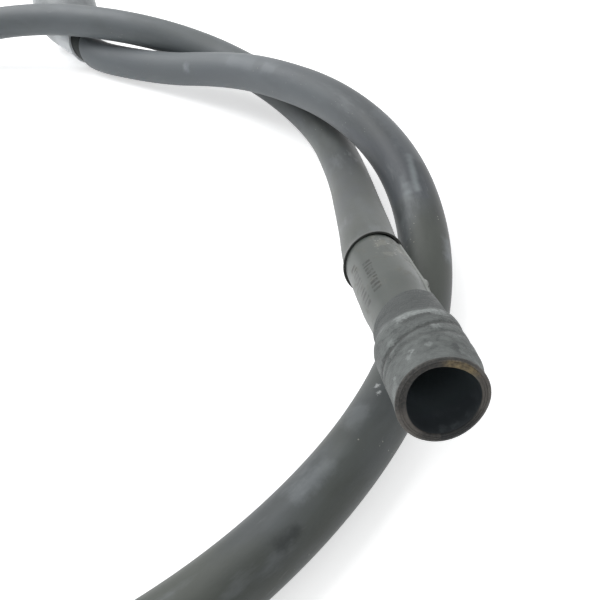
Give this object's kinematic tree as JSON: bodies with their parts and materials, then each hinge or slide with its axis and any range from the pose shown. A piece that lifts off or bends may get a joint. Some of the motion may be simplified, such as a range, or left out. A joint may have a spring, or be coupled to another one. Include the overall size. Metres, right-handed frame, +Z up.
{
  "type": "hydraulic hose assembly",
  "caption": "Low-pressure hydraulic hose in a loose outer sleeve, lying in a loop that crosses itself, with a soft enlarged socket on one end and a wide belled socket on the other.",
  "frame": {"origin": "middle of the footprint, on the surface that the hose lies on", "axes": "+Y along the longest side of the footprint, from the near cuff's side to the far cuff's; +Z up"},
  "size_m": [0.5305, 0.6127, 0.0913],
  "materials": {
    "inner_tube_rubber": "smooth oil-resistant rubber",
    "braid_textile": "braided textile cord",
    "hose_cover_rubber": "matt black rubber",
    "marker_film": "semi-gloss grey film",
    "sleeve_rubber": "satin dark grey, scuffed",
    "near_cuff_rubber": "matt dark rubber with clamp marks",
    "cuff_lining_rubber": "smooth dark rubber",
    "cuff_ply_fabric": "rubbered golden-brown fabric",
    "far_cuff_rubber": "smooth pale grey rubber"
  },
  "bodies": {
    "root": {"inner_tube": "inner_tube_rubber", "textile_braid": "braid_textile", "hose_cover": "hose_cover_rubber", "near_marker_sleeve": "marker_film", "outer_sleeve": "sleeve_rubber", "near_cuff_cover": "near_cuff_rubber", "near_cuff_ply": "cuff_ply_fabric", "near_cuff_lining": "cuff_lining_rubber", "far_cuff_cover": "far_cuff_rubber", "far_cuff_ply": "cuff_ply_fabric", "far_cuff_lining": "cuff_lining_rubber"}
  },
  "joints": []
}
